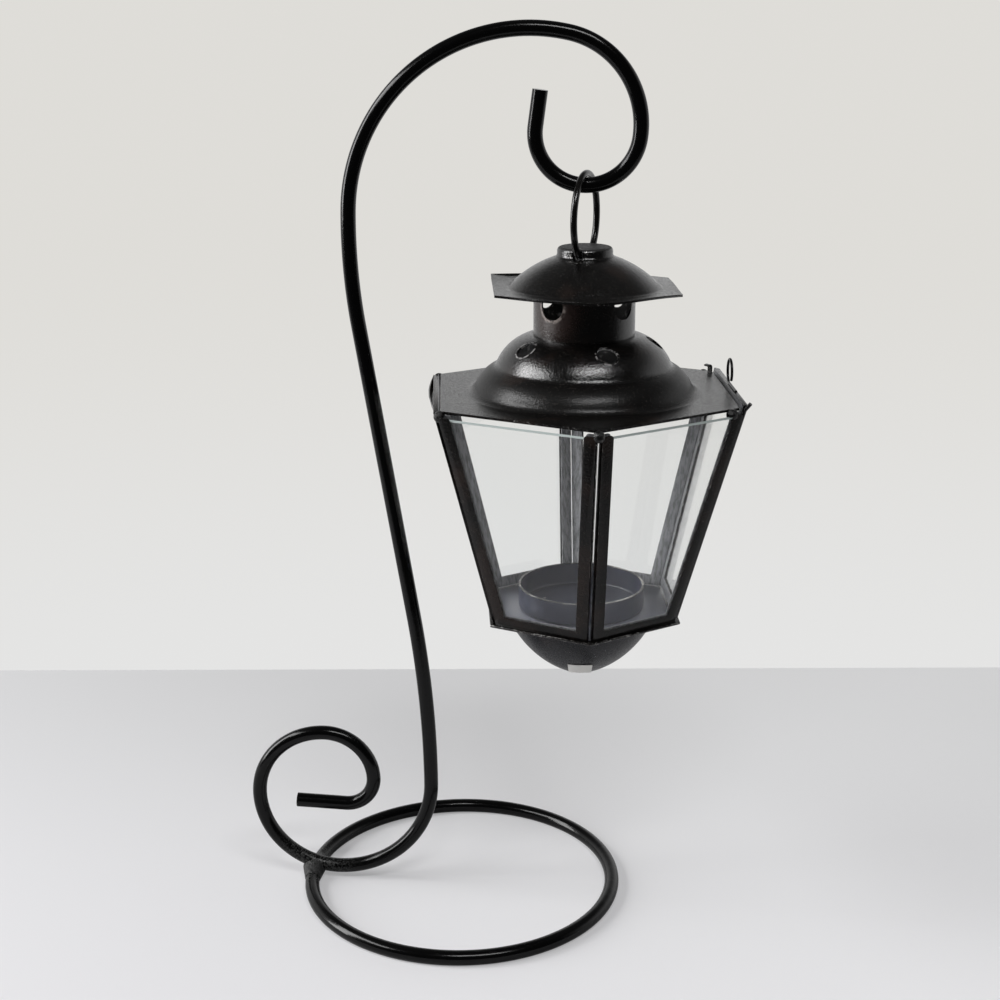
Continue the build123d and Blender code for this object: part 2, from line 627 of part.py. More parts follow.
save(paper_label, "paper_label")
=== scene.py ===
"""Looks of a six-sided glass tealight lantern that hangs from a bent rod stand.

Everything is in metres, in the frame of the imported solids: the origin is the middle of the
base ring on the floor, +X points from the foot scroll to the hook and +Z is up.
"""

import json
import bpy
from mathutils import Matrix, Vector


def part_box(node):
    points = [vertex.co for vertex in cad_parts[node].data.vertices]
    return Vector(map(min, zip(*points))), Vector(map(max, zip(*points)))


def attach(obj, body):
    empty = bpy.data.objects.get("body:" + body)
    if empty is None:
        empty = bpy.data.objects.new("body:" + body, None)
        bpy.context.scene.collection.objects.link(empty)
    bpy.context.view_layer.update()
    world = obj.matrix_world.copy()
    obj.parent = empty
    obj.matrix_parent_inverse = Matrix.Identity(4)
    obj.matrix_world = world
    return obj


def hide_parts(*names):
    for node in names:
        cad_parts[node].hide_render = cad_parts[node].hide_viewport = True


bl_info = {
    "name": "Hanging Candle Lantern",
    "version": (1, 0, 0),
    "blender": (4, 5, 0),
    "location": "3D View > Sidebar > Lantern",
    "description": "Dresses the solids of a hanging candle lantern and sets its stage",
    "category": "Object",
}

from math import asin, atan2, cos, pi, radians, sin

import bmesh
import bpy
from bpy.props import FloatProperty, FloatVectorProperty, IntProperty, PointerProperty
from mathutils import Matrix, Vector

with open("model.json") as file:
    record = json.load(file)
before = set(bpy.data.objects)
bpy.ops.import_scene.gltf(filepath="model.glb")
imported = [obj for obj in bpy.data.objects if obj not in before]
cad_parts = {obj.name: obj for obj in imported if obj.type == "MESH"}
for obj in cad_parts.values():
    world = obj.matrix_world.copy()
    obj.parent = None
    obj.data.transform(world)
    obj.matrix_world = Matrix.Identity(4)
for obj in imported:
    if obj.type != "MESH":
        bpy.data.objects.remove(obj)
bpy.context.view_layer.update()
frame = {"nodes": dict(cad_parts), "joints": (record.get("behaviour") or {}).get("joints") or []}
NODES = frame["nodes"]
JOINT_PLACE = {joint["name"]: joint["pos_m"] for joint in frame["joints"]}

SIDES = ("front_right", "back_right", "back_left", "left", "front_left")
FRAME_NODES = tuple(f"frame_{side}" for side in SIDES) + ("door_frame",)
PANE_NODES = tuple(f"pane_{side}" for side in SIDES) + ("door_pane",)
LANTERN_TURN = radians(7.2)
FLAT_SHARE = cos(pi / 6)
MERGE_DISTANCE = 1e-6
RING_STEPS = 240
WIRE_STEPS = 120
WIRE_SIDES = 24
POST_UPPER_TURN = radians(11.0)
ARCH_TURN = radians(100.6)
CROOK_TURN = radians(84.6)
HOOK_TURN = radians(90.0)
HOOK_END_TURN = radians(90.5)
SCROLL_END_TURN = radians(92.0)
AXIS_X = JOINT_PLACE["lantern_sway"][0]
HOLE_REACH = 0.0086
CHIMNEY_HOLE_LEVEL = 0.21263
CHIMNEY_HOLE_TURN = radians(-127.4)
CAP_CORNER_RADIUS = 0.0339
CAP_DOME_RADIUS = 0.0262
BRIM_EDGE = 0.002
BRIM_ROUNDS = 4
ROOF_CORNER_RADIUS = 0.054
ROOF_WAIST_RISE = 0.0093
ROOF_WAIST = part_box("roof")[0][2] + ROOF_WAIST_RISE
VENT_COUNT = 5
VENT_TURN = radians(-141.4)
VENT_REACH = 0.023
VENT_DROP = 0.0026
BODY_TOP_FLAT = 0.0568 * FLAT_SHARE
BODY_BASE_FLAT = 0.0354 * FLAT_SHARE
BODY_HEIGHT = 0.0742
BASE_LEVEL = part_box("base_plate")[1][2]
BASE_CORNER_RADIUS = 0.0364
SLATE_REACH = (0.0285, 0.0295)
LAMP_TARGET = (0.03, 0.0, 0.17)
BLACK = (0.0, 0.0, 0.0, 1.0)
WHITE = (1.0, 1.0, 1.0, 1.0)
CHIP_GREY = (0.2, 0.2, 0.19, 1.0)
# Pale specks on the paint's grain: partly dust, partly a painted sparkle where light catches the grain.
DUST_AND_SPARKLE_GREY = (0.22, 0.2, 0.18, 1.0)
HOLE_RIM = (0.5, 0.42, 0.38)
CUP_SPECKS = (0.5, 0.5, 0.48)


def length(name, description, default):
    """A size that a user may change."""
    return FloatProperty(name=name, description=description, default=default, unit="LENGTH", precision=5)


def colour(name, description, default):
    """A colour that a user may change."""
    return FloatVectorProperty(
        name=name, description=description, default=default, subtype="COLOR", size=3, min=0.0, max=1.0
    )


def share(name, description, default):
    """A number from 0 to 1 that a user may change."""
    return FloatProperty(
        name=name, description=description, default=default, subtype="FACTOR", min=0.0, max=1.0
    )


def angle(name, description, degrees):
    """An angle that a user may change."""
    return FloatProperty(name=name, description=description, default=radians(degrees), unit="ROTATION")


def power(name, description, default):
    """A lamp's power that a user may change."""
    return FloatProperty(name=name, description=description, default=default, unit="POWER")


class LanternStandLooks(bpy.types.PropertyGroup):
    """Bends and paint of the rod stand."""

    rod_diameter: length("Rod diameter", "Thickness of the stand's rod", 0.005)
    foot_x: length("Foot place", "Lowest point of the foot along X", -0.0448)
    foot_clearance: length("Foot clearance", "Air under the foot's lowest point", 0.0017)
    foot_radius: length("Foot bend", "Radius from the foot into the post", 0.034)
    post_lower_radius: length("Lower post bend", "Radius of the post's slow lower bend", 0.4)
    post_lean: angle("Post lean", "Lean of the post", 9.2)
    post_length: length("Post length", "Straight middle of the post", 0.102)
    post_upper_radius: length("Upper post bend", "Radius of the post's slow upper bend", 0.198)
    arch_radius: length("Arch bend", "Radius of the arch", 0.0584)
    crook_radius: length("Crook bend", "Radius from the arch into the hook", 0.0288)
    hook_radius: length("Hook bend", "Radius of the hook", 0.017)
    hook_end_radius: length("Hook end bend", "Radius of the hook past its lowest point", 0.0161)
    tip_length: length("Hook tip", "Straight end of the hook", 0.0113)
    scroll_lower_radius: length("Lower scroll bend", "Radius of the scroll's outer lower quarter", 0.0283)
    scroll_upper_radius: length("Upper scroll bend", "Radius of the scroll's outer upper quarter", 0.0242)
    scroll_inner_radius: length("Inner scroll bend", "Radius of the scroll's inner quarter", 0.0174)
    scroll_end_radius: length("Scroll end bend", "Radius of the scroll's last bend", 0.0099)
    stub_length: length("Scroll end", "Straight end of the scroll", 0.0176)
    ring_radius: length("Base ring", "Radius to the middle of the base ring's rod", 0.054)
    rod_sides: IntProperty(name="Rod sides", description="Faces round a rod", default=40, min=8, max=96)
    ring_flat: length("Ring flat", "Depth of the flat under the base ring", 0.00025)
    ring_gap: length("Ring gap", "From the rod's plane to the base ring's ends", 0.0026)
    paint: colour("Rod paint", "Glossy black paint of the stand", (0.0016, 0.0016, 0.0017))
    burnt: colour("Burnt paint", "Dull paint beside the weld", (0.045, 0.046, 0.045))


class LanternBodyLooks(bpy.types.PropertyGroup):
    """Paint, glass and wire of the lantern."""

    wire_diameter: length("Ring wire", "Thickness of the hanging ring's wire", 0.0022)
    wire_ring_radius: length("Hanging ring", "Radius to the middle of the hanging ring's wire", 0.0139)
    wire_ring_twist: angle("Ring twist", "Turn of the hanging ring about the upright", 13.0)
    fold_rounding: length("Fold rounding", "Rounding of the folded frames' edges", 0.0002)
    plate_rounding: length("Plate rounding", "Rounding of the base plate's edges", 0.0002)
    paint: colour("Lantern paint", "Black paint of the sheet metal", (0.0035, 0.0032, 0.003))
    warm: colour("Warm paint", "Browner patches of the same paint", (0.014, 0.009, 0.0072))
    # Paler grey laid in streaks on the frames' inner faces.
    inside: colour("Inside paint", "Thin paint on the inner faces of the frames", (0.27, 0.275, 0.29))
    cup: colour("Cup paint", "Slate paint of the candle cup", (0.028, 0.031, 0.048))
    plate: colour("Plate paint", "Paler slate paint round the candle cup", (0.12, 0.125, 0.15))
    bare: colour("Bare metal", "Metal where the paint has worn off", (0.42, 0.41, 0.4))
    rust: colour("Rust", "Brown stain below a vent", (0.05, 0.022, 0.016))
    glass_edge: colour("Glass edge", "Tint of the cut edges of the panes", (0.42, 0.47, 0.46))
    paper: colour("Label paper", "Paper of the blank label", (0.9, 0.89, 0.85))
    brim_lift: length("Bent corner", "Rise of the cap brim's bent corner", 0.0015)
    brim_push: length("Pushed corner", "How far the cap brim's left corners stand out", 0.0006)
    brim_ripple: length("Brim ripple", "Height of the small waves in the cap's brim", 0.0002)
    wear: share("Wear", "How much paint has gone from the edges", 0.6)
    # Share of pale specks: partly dust, partly painted sparkle of the grain.
    dust_and_sparkle: share("Dust", "How much of the fine grain is pale", 0.11)


class LanternStageLooks(bpy.types.PropertyGroup):
    """Floor, background, lights and camera."""

    floor: colour("Floor", "Colour of the floor", (0.45, 0.45, 0.455))
    # Painted light: the floor towards the viewer is painted paler, for the brighter light that falls there.
    floor_near_lit: colour("Floor in front", "Colour of the floor towards the viewer", (0.53, 0.527, 0.54))
    floor_glow: share("Floor glow", "Share of the floor's colour that needs no light", 0.55)
    wall: colour("Wall", "Colour of the wall behind", (0.735, 0.722, 0.69))
    wall_low: colour("Low wall", "Colour of the wall just above the floor", (0.78, 0.78, 0.775))
    floor_width: length("Floor width", "Width of the floor", 1.1)
    floor_end: length("Floor end", "From the camera to the floor's far edge, along the floor", 0.728)
    floor_front: length("Floor front", "From the camera to the floor's near edge, along the floor", 0.27)
    window_power: power("Window", "Power of the tall light on the left", 10.0)
    skylight_power: power("Skylight", "Power of the wide light above on the left", 6.5)
    front_power: power("Front lamp", "Power of the lamp in front", 6.0)
    room_front: share("Dark room", "Light from the room in front of the object", 0.03)
    room_back: share("Bright room", "Light from the wall behind the object", 0.7)
    camera_place: FloatVectorProperty(
        name="Camera",
        description="Where the camera stands",
        default=(0.06143, -0.52713, 0.30486),
        unit="LENGTH",
    )
    camera_way: FloatVectorProperty(
        name="Camera direction", description="Where the camera looks", default=(-0.0855, 0.9532, -0.2899)
    )
    camera_roll: angle("Camera roll", "Turn about the line of sight", -0.171)
    camera_lens: FloatProperty(name="Lens", description="Focal length in millimetres", default=59.155)


class Wire:
    """An output socket of a finish, for use in Python expressions."""

    def __init__(self, finish, socket):
        self.finish = finish
        self.socket = socket

    def maths(self, operation, first, second):
        """A Math node of two values."""
        return self.finish.node("ShaderNodeMath", {"operation": operation}, {0: first, 1: second})

    def __add__(self, other):
        return self.maths("ADD", self, other)

    def __radd__(self, other):
        return self.maths("ADD", other, self)

    def __sub__(self, other):
        return self.maths("SUBTRACT", self, other)

    def __rsub__(self, other):
        return self.maths("SUBTRACT", other, self)

    def __mul__(self, other):
        return self.maths("MULTIPLY", self, other)

    def __rmul__(self, other):
        return self.maths("MULTIPLY", other, self)

    def __pow__(self, other):
        return self.maths("POWER", self, other)

    def __abs__(self):
        return self.maths("ABSOLUTE", self, 0.0)

    def larger(self, other):
        """The larger of two values."""
        return self.maths("MAXIMUM", self, other)


class Finish:
    """A material's or a world's nodes, made by expressions and by one method."""

    def __init__(self, owner, coordinates="Object"):
        self.owner = owner
        owner.use_nodes = True
        self.tree = owner.node_tree
        self.tree.nodes.clear()
        self.place = self.node("ShaderNodeTexCoord", output=coordinates)
        self.x = self.node("ShaderNodeSeparateXYZ", {}, {0: self.place}, "X")
        self.y = self.node("ShaderNodeSeparateXYZ", {}, {0: self.place}, "Y")
        self.z = self.node("ShaderNodeSeparateXYZ", {}, {0: self.place}, "Z")

    def node(self, kind, settings=None, sockets=None, output=0):
        """Add a node: its settings first, then the values or links of its sockets."""
        made = self.tree.nodes.new(kind)
        for name, value in (settings or {}).items():
            setattr(made, name, value)
        for name, value in (sockets or {}).items():
            if isinstance(value, Wire):
                self.tree.links.new(value.socket, made.inputs[name])
            else:
                made.inputs[name].default_value = value
        return None if output is None else Wire(self, made.outputs[output])

    def noise(self, scale, detail=2.0, roughness=0.5, stretch=1.0):
        """Soft random values about 0.5, with features about 1 / scale metres across, stretched upwards."""
        place = self.node("ShaderNodeMapping", {}, {"Vector": self.place, "Scale": (1.0, 1.0, 1.0 / stretch)})
        sockets = {"Vector": place, "Scale": scale, "Detail": detail, "Roughness": roughness}
        return self.node("ShaderNodeTexNoise", {}, sockets)

    def ramp(self, value, low, high):
        """0 below low, 1 above high, smooth between."""
        sockets = {"Value": value, "From Min": low, "From Max": high}
        return self.node("ShaderNodeMapRange", {"interpolation_type": "SMOOTHSTEP"}, sockets)

    def blend(self, factor, first, second):
        """A colour between two colours."""
        return self.node("ShaderNodeMix", {"data_type": "RGBA"}, {0: factor, 6: first, 7: second}, 2)

    def bump(self, height, distance, strength=1.0):
        """A normal that follows a height between 0 and 1."""
        return self.node("ShaderNodeBump", {}, {"Height": height, "Distance": distance, "Strength": strength})

    def distance(self, x, y, z):
        """Distance from a point."""
        return ((self.x - x) ** 2.0 + (self.y - y) ** 2.0 + (self.z - z) ** 2.0) ** 0.5

    def six_sided(self):
        """Distance from the lantern's axis, measured square to the nearest of its six sides."""
        furthest = None
        for index in range(3):
            turn = LANTERN_TURN - pi / 3 + index * pi / 3
            reach = abs((self.x - AXIS_X) * cos(turn) + self.y * sin(turn))
            furthest = reach if furthest is None else furthest.larger(reach)
        return furthest

    def ray(self, *kinds):
        """1 for rays of the named kinds."""
        found = None
        for kind in kinds:
            flag = self.node("ShaderNodeLightPath", output=f"Is {kind} Ray")
            found = flag if found is None else found.larger(flag)
        return found

    def send(self, shader, output="ShaderNodeOutputMaterial"):
        """Send a shader to the output."""
        self.node(output, {}, {"Surface": shader}, None)
        return self.owner

    def surface(self, sockets):
        """Finish with a Principled shader."""
        return self.send(self.node("ShaderNodeBsdfPrincipled", {}, sockets))


def new_finish(name):
    """The nodes of a new material."""
    return Finish(bpy.data.materials.new(name))


def solid(rgb):
    """A colour with full alpha."""
    return (*rgb, 1.0)


def rod_paint(looks):
    """Glossy black paint, a little wavy, with rare chips, and burnt dull beside the weld."""
    finish = new_finish("rod_paint")
    fine = finish.noise(1500.0, 3.0, 0.6)
    weld = 1.0 - finish.ramp(finish.distance(-looks.ring_radius, 0.0, looks.rod_diameter), 0.004, 0.02)
    dull = weld * finish.ramp(fine, 0.42, 0.62)
    chip = finish.ramp(finish.noise(420.0, 4.0, 0.7), 0.755, 0.775)
    base = finish.blend(dull, solid(looks.paint), solid(looks.burnt))
    base = finish.blend(chip, base, CHIP_GREY)
    wave = finish.noise(260.0, 2.0)
    rough = 0.13 + 0.08 * wave + 0.3 * dull
    normal = finish.bump(wave * 0.8 + fine * (0.2 + weld), 0.00009, 0.7)
    return finish.surface(
        {"Base Color": base, "Roughness": rough, "Normal": normal, "Specular IOR Level": 0.3}
    )


def weld_paint(looks):
    """Dull speckled paint on a weld."""
    finish = new_finish("weld_paint")
    fleck = finish.noise(1300.0, 4.0, 0.7)
    ash = solid([c * 1.3 for c in looks.burnt])
    base = finish.blend(finish.ramp(fleck, 0.4, 0.7), solid(looks.paint), ash)
    lumps = 0.5 * fleck + finish.noise(420.0, 2.0)
    return finish.surface({"Base Color": base, "Roughness": 0.42, "Normal": finish.bump(lumps, 0.0009)})


def wire_finish(looks):
    """Dark wire with fine scratches of bare metal."""
    finish = new_finish("wire_black")
    worn = finish.ramp(finish.noise(900.0, 4.0, 0.7), 0.7, 0.78)
    base = finish.blend(worn, solid(looks.paint), solid([c * 0.3 for c in looks.bare]))
    return finish.surface(
        {
            "Base Color": base,
            "Roughness": 0.2 + 0.1 * worn,
            "Metallic": 0.7 * worn,
            "Normal": finish.bump(finish.noise(2400.0), 0.00004, 0.5),
        }
    )


class SheetPaint:
    """Parts of the lantern's black paint, shared by every sheet piece."""

    def __init__(self, name, looks, warmth=0.35, gloss=0.75, dust_and_sparkle_share=1.0):
        self.finish = new_finish(name)
        finish = self.finish
        patch = finish.ramp(finish.noise(60.0, 4.0), 0.66 - 0.3 * warmth, 0.84 - 0.3 * warmth)
        self.base = finish.blend(patch, solid(looks.paint), solid(looks.warm))
        self.grain = finish.noise(1420.0, 3.0, 0.6)
        # Pale specks on the grain's peaks: partly dust, partly painted sparkle.
        dust_and_sparkle = finish.ramp(self.grain, 0.56, 0.7)
        self.base = finish.blend(dust_and_sparkle * looks.dust_and_sparkle * dust_and_sparkle_share, self.base, DUST_AND_SPARKLE_GREY)
        self.rough = 0.26 - 0.17 * finish.ramp(self.grain, 0.42, 0.58)
        self.metal = None
        self.matt = None
        self.gloss = gloss
        self.bare = solid(looks.bare)

    def wear(self, mask):
        """Show bare metal where the mask is 1."""
        self.base = self.finish.blend(mask, self.base, self.bare)
        self.metal = 0.85 * mask if self.metal is None else self.metal.larger(0.85 * mask)

    def stain(self, mask, rgb, roughness):
        """Cover with a colour where the mask is 1."""
        self.base = self.finish.blend(mask, self.base, solid(rgb))
        self.rough = self.rough * (1.0 - mask) + roughness * mask

    def done(self, peel=0.00011, strength=0.85):
        """The finished material."""
        sockets = {
            "Base Color": self.base,
            "Roughness": self.rough,
            "Normal": self.finish.bump(self.grain, peel, strength),
            "Specular IOR Level": self.gloss,
        }
        if self.metal is not None:
            sockets["Metallic"] = self.metal
        if self.matt is None:
            return self.finish.surface(sockets)
        dull = {**sockets, "Roughness": 0.42, "Specular IOR Level": 0.2}
        kind = "ShaderNodeBsdfPrincipled"
        shaders = {1: self.finish.node(kind, {}, sockets), 2: self.finish.node(kind, {}, dull)}
        return self.finish.send(self.finish.node("ShaderNodeMixShader", {}, {0: self.matt, **shaders}))


def brim_paint(name, looks, reach, chips):
    """Sheet paint that has worn along the edge of a six-sided brim."""
    paint = SheetPaint(name, looks)
    finish = paint.finish
    edge = finish.ramp(finish.six_sided(), reach - 0.0005, reach - 0.0001)
    broken = finish.ramp(finish.noise(900.0, 4.0, 0.65), chips, chips + 0.06)
    paint.wear(edge * broken * looks.wear)
    return paint


def cap_paint(looks):
    """Brim paint, with bright torn metal round the two holes of the crown."""
    paint = brim_paint("cap_paint", looks, CAP_CORNER_RADIUS * FLAT_SHARE, 0.62)
    finish = paint.finish
    hang = JOINT_PLACE["lantern_sway"]
    along = (sin(looks.wire_ring_twist), cos(looks.wire_ring_twist))
    torn = None
    for side in (1, -1):
        reach = side * HOLE_REACH
        near = finish.distance(hang[0] + reach * along[0], reach * along[1], hang[2])
        ring = finish.ramp(near, 0.0021, 0.0024) * (1.0 - finish.ramp(near, 0.003, 0.0038))
        torn = ring if torn is None else torn.larger(ring)
    paint.wear(torn * finish.ramp(finish.noise(620.0, 3.0, 0.6), 0.56, 0.64))
    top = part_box("cap")[1][2]
    paint.rough = paint.rough + 0.4 * finish.ramp(finish.z, top - 0.0006, top - 0.0003)
    return paint.done()


def roof_paint(looks):
    """Brim paint that is duller below the dome's waist, with bare metal in places round the vents."""
    paint = brim_paint("roof_paint", looks, ROOF_CORNER_RADIUS * FLAT_SHARE, 0.6)
    finish = paint.finish
    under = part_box("roof")[0][2]
    dome = 1.0 - finish.ramp(finish.z, ROOF_WAIST - 0.001, ROOF_WAIST + 0.001)
    paint.matt = 0.8 * dome * finish.ramp(finish.z, under + 0.0005, under + 0.0025)
    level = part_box("roof")[1][2] - VENT_DROP
    rims = None
    for index in range(VENT_COUNT):
        turn = VENT_TURN + 2 * pi / VENT_COUNT * index
        near = finish.distance(AXIS_X + VENT_REACH * cos(turn), VENT_REACH * sin(turn), level)
        rim = 1.0 - finish.ramp(near, 0.0036, 0.0041)
        rims = rim if rims is None else rims.larger(rim)
    broken = finish.ramp(finish.noise(420.0, 3.0, 0.6), 0.46, 0.56)
    paint.stain(rims * broken, [c * 0.7 for c in looks.bare], 0.45)
    return paint.done()


def chimney_paint(looks):
    """Sheet paint with a brown stain and a pale rim below the hole at the front left."""
    paint = SheetPaint("chimney_paint", looks, 0.7)
    finish = paint.finish
    low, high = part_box("chimney")
    turn = CHIMNEY_HOLE_TURN
    reach = (high[0] - low[0]) / 2
    near = finish.distance(AXIS_X + reach * cos(turn), reach * sin(turn), CHIMNEY_HOLE_LEVEL)
    grit = finish.noise(900.0, 4.0, 0.6)
    stain = 1.0 - finish.ramp(near, 0.005, 0.0145)
    paint.stain(stain * (0.45 + 0.5 * grit), looks.rust, 0.42)
    rim = 1.0 - finish.ramp(near, 0.0048, 0.0058)
    below = 1.0 - finish.ramp(finish.z, CHIMNEY_HOLE_LEVEL - 0.001, CHIMNEY_HOLE_LEVEL + 0.0018)
    paint.stain(rim * below * finish.ramp(grit, 0.36, 0.6), HOLE_RIM, 0.5)
    return paint.done()


def plain_paint(name, looks, chips, warmth=0.35, gloss=0.75, dust_and_sparkle_share=1.0):
    """Sheet paint with a few chips scattered over it."""
    paint = SheetPaint(name, looks, warmth, gloss, dust_and_sparkle_share)
    finish = paint.finish
    spots = finish.ramp(finish.noise(520.0, 5.0, 0.7), chips, chips + 0.03)
    paint.wear(spots * looks.wear)
    return paint


def frame_paint(looks):
    """Sheet paint with a paler grey, in streaks, on the frames' inner faces."""
    paint = plain_paint("frame_paint", looks, 0.7, 0.65, 0.3, 0.8)
    finish = paint.finish
    lean = (BODY_TOP_FLAT - BODY_BASE_FLAT) / BODY_HEIGHT
    outer = BODY_BASE_FLAT + (finish.z - BASE_LEVEL) * lean
    inner = finish.ramp(outer - finish.six_sided(), 0.0015, 0.0019)
    streak = finish.noise(1100.0, 3.0, 0.6, 40.0)
    paint.stain(inner * (0.5 + 0.5 * finish.ramp(streak, 0.36, 0.62)), looks.inside, 0.4)
    return paint.done()


def fold_paint(looks):
    """Paint on the rounded edges of folded frames, rubbed through in places."""
    paint = SheetPaint("fold_paint", looks, 0.5, 0.5)
    finish = paint.finish
    rubbed = finish.ramp(finish.noise(420.0, 5.0, 0.7), 0.5, 0.62)
    paint.wear(rubbed * looks.wear)
    return paint.done()


def cup_paint(looks):
    """Smooth slate paint with a bright bare rim and a few specks of dust."""
    paint = SheetPaint("cup_paint", looks)
    finish = paint.finish
    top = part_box("candle_cup")[1][2]
    rim = finish.ramp(finish.z, top - 0.0003, top - 0.0001)
    paint.stain(1.0 - rim, looks.cup, 0.3)
    paint.wear(rim * finish.ramp(finish.noise(120.0, 3.0, 0.6), 0.46, 0.6))
    paint.stain(finish.ramp(finish.noise(160.0, 1.0), 0.78, 0.8), CUP_SPECKS, 0.8)
    return paint.done(0.00001, 0.4)


def plate_paint(looks):
    """Slate paint on the lantern's floor, worn along the edge."""
    paint = brim_paint("plate_paint", looks, BASE_CORNER_RADIUS * FLAT_SHARE, 0.57)
    finish = paint.finish
    inner = 1.0 - finish.ramp(finish.six_sided(), *SLATE_REACH)
    paint.stain(inner, looks.plate, 0.28)
    return paint.done(0.00004, 0.5)


def inner_metal(looks):
    """Sooty insides of the roof, chimney and cap."""
    finish = new_finish("inner_metal")
    clean = finish.ramp(finish.noise(420.0, 3.0, 0.6), 0.55, 0.72)
    base = finish.blend(clean, solid(looks.paint), solid([c * 0.3 for c in looks.bare]))
    return finish.surface({"Base Color": base, "Roughness": 0.55 - 0.1 * clean, "Specular IOR Level": 0.3})


def bowl_paint(looks):
    """Slate-black paint of the bowl."""
    paint = plain_paint("bowl_paint", looks, 0.76, 0.35, 0.4)
    paint.stain(paint.grain * 0.5, [c * 0.8 for c in looks.cup], 0.36)
    return paint.done()


def solder_finish(looks):
    """Lumpy solder, painted over but for a few glints."""
    finish = new_finish("solder_black")
    glint = finish.ramp(finish.noise(1100.0, 3.0), 0.62, 0.7)
    base = finish.blend(glint, solid(looks.paint), solid(looks.bare))
    return finish.surface(
        {
            "Base Color": base,
            "Roughness": 0.3 - 0.08 * glint,
            "Metallic": glint * 0.9,
            "Normal": finish.bump(finish.noise(1200.0, 4.0), 0.0005),
        }
    )


def label_paper(looks):
    """Plain paper with short fibres."""
    finish = new_finish("label_paper")
    fibre = finish.noise(3200.0, 4.0, 0.7)
    base = finish.blend(fibre * 0.3, solid(looks.paper), solid([c * 0.75 for c in looks.paper]))
    return finish.surface({"Base Color": base, "Roughness": 0.85, "Normal": finish.bump(fibre, 0.00004, 0.6)})


def pane_glass(name, looks, top):
    """Clear glass that lets lamp light straight through, with a ground edge at the top."""
    finish = new_finish(name)
    edge = finish.ramp(finish.z, top - 0.0005, top - 0.0003)
    shadow = finish.ray("Shadow")
    clear = finish.node(
        "ShaderNodeBsdfPrincipled",
        {},
        {
            "Base Color": (0.985, 0.993, 0.995, 1.0),
            "Roughness": 0.01,
            "IOR": 1.45,
            "Transmission Weight": 1.0,
            "Alpha": 1.0 - 0.9 * shadow,
        },
    )
    ground = finish.noise(2000.0, 3.0)
    tint = finish.blend(ground, solid(looks.glass_edge), solid([c * 1.5 for c in looks.glass_edge]))
    cut_edge = finish.node("ShaderNodeBsdfPrincipled", {}, {"Base Color": tint, "Roughness": 0.3})
    return finish.send(finish.node("ShaderNodeMixShader", {}, {0: edge, 1: clear, 2: cut_edge}))


def link(piece):
    """Put a new object in the scene."""
    bpy.context.scene.collection.objects.link(piece)
    return piece


def smooth(mesh, limit=35.0):
    """Shade a mesh smooth, and keep its corners sharp."""
    mesh.polygons.foreach_set("use_smooth", [True] * len(mesh.polygons))
    mesh.set_sharp_from_angle(angle=radians(limit))


def take_place(piece, node, body):
    """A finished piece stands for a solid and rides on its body."""
    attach(piece, body)
    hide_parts(node)


def bake_modifiers(source, name):
    """A plain mesh object of what a modifier stack makes; the source goes."""
    bpy.context.view_layer.update()
    ready = source.evaluated_get(bpy.context.evaluated_depsgraph_get())
    mesh = bpy.data.meshes.new_from_object(ready)
    data = source.data
    bpy.data.objects.remove(source)
    if isinstance(data, bpy.types.Mesh):
        bpy.data.meshes.remove(data)
    else:
        bpy.data.curves.remove(data)
    mesh.name = name
    return link(bpy.data.objects.new(name, mesh))


def new_group(name, inputs):
    """A geometry node tree with a geometry input, the named inputs and a geometry output."""
    tree = bpy.data.node_groups.new(name, "GeometryNodeTree")
    tree.interface.new_socket("Geometry", in_out="INPUT", socket_type="NodeSocketGeometry")
    for label, kind in inputs:
        tree.interface.new_socket(label, in_out="INPUT", socket_type=kind)
    tree.interface.new_socket("Geometry", in_out="OUTPUT", socket_type="NodeSocketGeometry")
    return tree


def add_nodes(group, **kinds):
    """Nodes of a geometry tree by a short name."""
    return {name: group.nodes.new(kind) for name, kind in kinds.items()}


def rod_group():
    """Sweeps a round section along a path and closes its ends."""
    group = new_group(
        "round_rod",
        [("Diameter", "NodeSocketFloat"), ("Sides", "NodeSocketInt"), ("Material", "NodeSocketMaterial")],
    )
    node = add_nodes(
        group,
        start="NodeGroupInput",
        half="ShaderNodeMath",
        section="GeometryNodeCurvePrimitiveCircle",
        sweep="GeometryNodeCurveToMesh",
        shade="GeometryNodeSetShadeSmooth",
        real="GeometryNodeRealizeInstances",
        paint="GeometryNodeSetMaterial",
        end="NodeGroupOutput",
    )
    node["half"].operation = "MULTIPLY"
    node["half"].inputs[1].default_value = 0.5
    node["sweep"].inputs["Fill Caps"].default_value = True
    join = group.links.new
    join(node["start"].outputs["Diameter"], node["half"].inputs[0])
    join(node["half"].outputs[0], node["section"].inputs["Radius"])
    join(node["start"].outputs["Sides"], node["section"].inputs["Resolution"])
    join(node["start"].outputs["Geometry"], node["sweep"].inputs["Curve"])
    join(node["section"].outputs["Curve"], node["sweep"].inputs["Profile Curve"])
    join(node["sweep"].outputs["Mesh"], node["shade"].inputs["Geometry"])
    join(node["shade"].outputs["Geometry"], node["real"].inputs["Geometry"])
    join(node["real"].outputs["Geometry"], node["paint"].inputs["Geometry"])
    join(node["start"].outputs["Material"], node["paint"].inputs["Material"])
    join(node["paint"].outputs["Geometry"], node["end"].inputs["Geometry"])
    return group


def grow(source, group, values, name):
    """Run a geometry tree on a source object and keep the plain mesh."""
    modifier = source.modifiers.new("Shape", "NODES")
    modifier.node_group = group
    for item in group.interface.items_tree:
        if item.in_out == "INPUT" and item.name in values:
            modifier[item.identifier] = values[item.name]
    return bake_modifiers(source, name)


